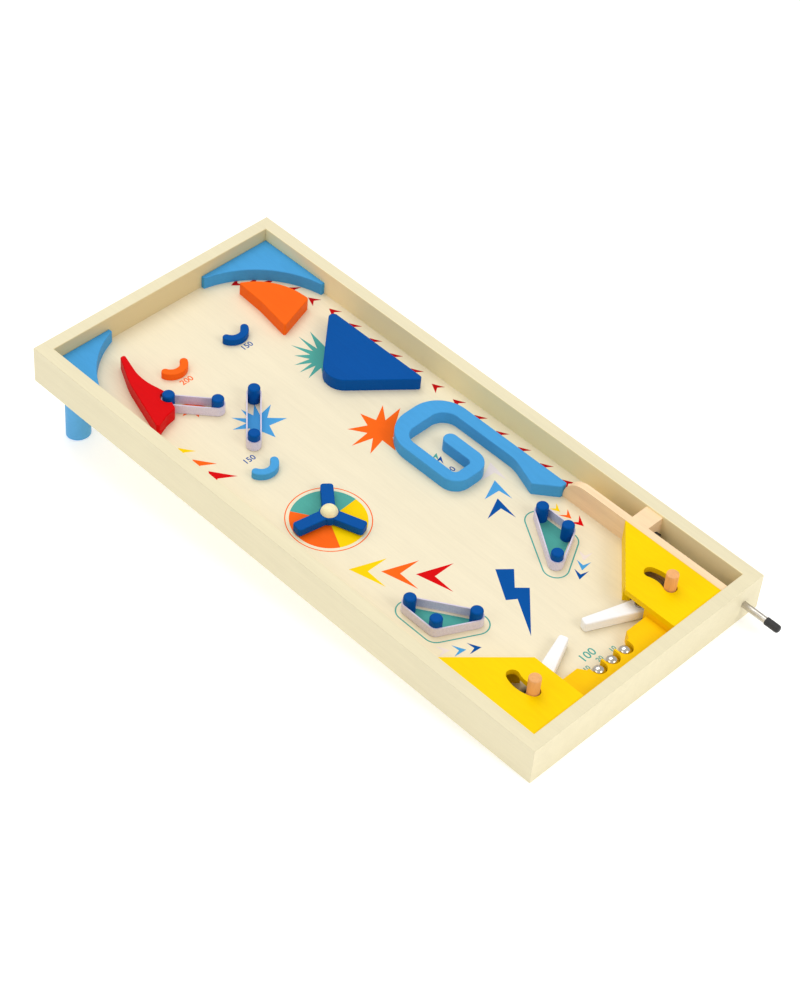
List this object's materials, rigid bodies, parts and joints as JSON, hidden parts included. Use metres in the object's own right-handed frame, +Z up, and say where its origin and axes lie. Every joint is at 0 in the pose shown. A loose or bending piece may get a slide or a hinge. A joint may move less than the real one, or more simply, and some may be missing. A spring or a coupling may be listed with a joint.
{
  "type": "bagatelle board game",
  "caption": "Wooden tabletop bagatelle: a leaning tray with a sprung plunger, hand flippers, a spinner, elastic bumpers, a curl, cups and steel balls.",
  "frame": {"origin": "middle of the bounding box's bottom face, on the table", "axes": "+Z up from the table, +Y towards the raised rear, +X to the player's right"},
  "size_m": [0.3, 0.6908, 0.112],
  "materials": {
    "tray_wood": "satin",
    "playfield_print": "satin",
    "blue_paint": "satin",
    "zinc_steel": "satin",
    "light_blue_paint": "satin",
    "orange_paint": "satin",
    "dark_blue_paint": "satin",
    "red_paint": "satin",
    "yellow_paint": "satin",
    "amber_paint": "satin",
    "natural_wood": "satin",
    "lane_wood": "satin",
    "handle_wood": "satin",
    "white_paint": "satin",
    "elastic_band": "matte",
    "black_rubber": "matte",
    "polished_steel": "polished",
    "spring_steel": "satin",
    "ball_steel": "polished"
  },
  "bodies": {
    "tray": {"front_wall": "tray_wood", "rear_wall": "tray_wood", "left_wall": "tray_wood", "right_wall": "tray_wood", "playfield_panel": "playfield_print", "leg_left": "blue_paint", "leg_right": "blue_paint", "leg_bolts": "zinc_steel", "corner_block_left": "light_blue_paint", "corner_block_right": "light_blue_paint", "orange_deflector": "orange_paint", "blue_deflector": "dark_blue_paint", "curl_guide": "light_blue_paint", "fin_guide": "red_paint", "cup_dark_blue": "dark_blue_paint", "cup_orange": "orange_paint", "cup_light_blue": "light_blue_paint", "spinner_washer": "zinc_steel", "spinner_screw": "zinc_steel", "spinner_cap": "natural_wood", "pivot_nuts": "zinc_steel", "flipper_screws": "zinc_steel", "flipper_washers": "zinc_steel", "lane_divider": "lane_wood", "plunger_guide_block": "lane_wood", "plunger_spring": "spring_steel", "score_rail": "amber_paint", "flipper_cover_left": "yellow_paint", "cover_wall_left": "yellow_paint", "cover_batten_left": "natural_wood", "flipper_cover_right": "yellow_paint", "cover_wall_right": "yellow_paint", "cover_batten_right": "natural_wood", "post_a_1": "dark_blue_paint", "post_a_2": "dark_blue_paint", "band_a": "elastic_band", "post_b_1": "dark_blue_paint", "post_b_2": "dark_blue_paint", "band_b": "elastic_band", "post_c_1": "dark_blue_paint", "post_c_2": "dark_blue_paint", "post_c_3": "dark_blue_paint", "band_c": "elastic_band", "post_d_1": "dark_blue_paint", "post_d_2": "dark_blue_paint", "post_d_3": "dark_blue_paint", "band_d": "elastic_band"},
    "plunger": {"plunger_rod": "polished_steel", "plunger_tip": "black_rubber", "plunger_buffer": "black_rubber", "plunger_clip": "zinc_steel"},
    "left_flipper": {"flipper_left": "white_paint", "flipper_handle_left": "handle_wood"},
    "right_flipper": {"flipper_right": "white_paint", "flipper_handle_right": "handle_wood"},
    "spinner": {"spinner_rotor": "dark_blue_paint"},
    "ball_a": {"ball_1": "ball_steel"},
    "ball_b": {"ball_2": "ball_steel"},
    "ball_c": {"ball_3": "ball_steel"}
  },
  "joints": [
    {"name": "plunger_pull", "type": "slide", "parent": "tray", "child": "plunger", "axis": [0, -0.9942, -0.108], "range_m": [0, 0.04], "stiffness_N_per_m": 60, "springref_m": -0.02, "deforming": ["plunger_spring"]},
    {"name": "left_flipper_turn", "type": "hinge", "parent": "tray", "child": "left_flipper", "pos_m": [-0.0764, -0.2443, 0.02002], "axis": [0, -0.108, 0.9942], "range_deg": [-33, 0]},
    {"name": "right_flipper_turn", "type": "hinge", "parent": "tray", "child": "right_flipper", "pos_m": [0.0526, -0.2439, 0.02007], "axis": [0, -0.108, 0.9942], "range_deg": [0, 33]},
    {"name": "spinner_turn", "type": "hinge", "parent": "tray", "child": "spinner", "pos_m": [-0.0747, 0.01846, 0.04857], "axis": [0, -0.108, 0.9942], "continuous": true},
    {"name": "ball_a_lift", "type": "slide", "parent": "tray", "child": "ball_a", "axis": [0, -0.108, 0.9942], "range_m": [0, 0.03]},
    {"name": "ball_b_lift", "type": "slide", "parent": "tray", "child": "ball_b", "axis": [0, -0.108, 0.9942], "range_m": [0, 0.03]},
    {"name": "ball_c_lift", "type": "slide", "parent": "tray", "child": "ball_c", "axis": [0, -0.108, 0.9942], "range_m": [0, 0.03]}
  ]
}
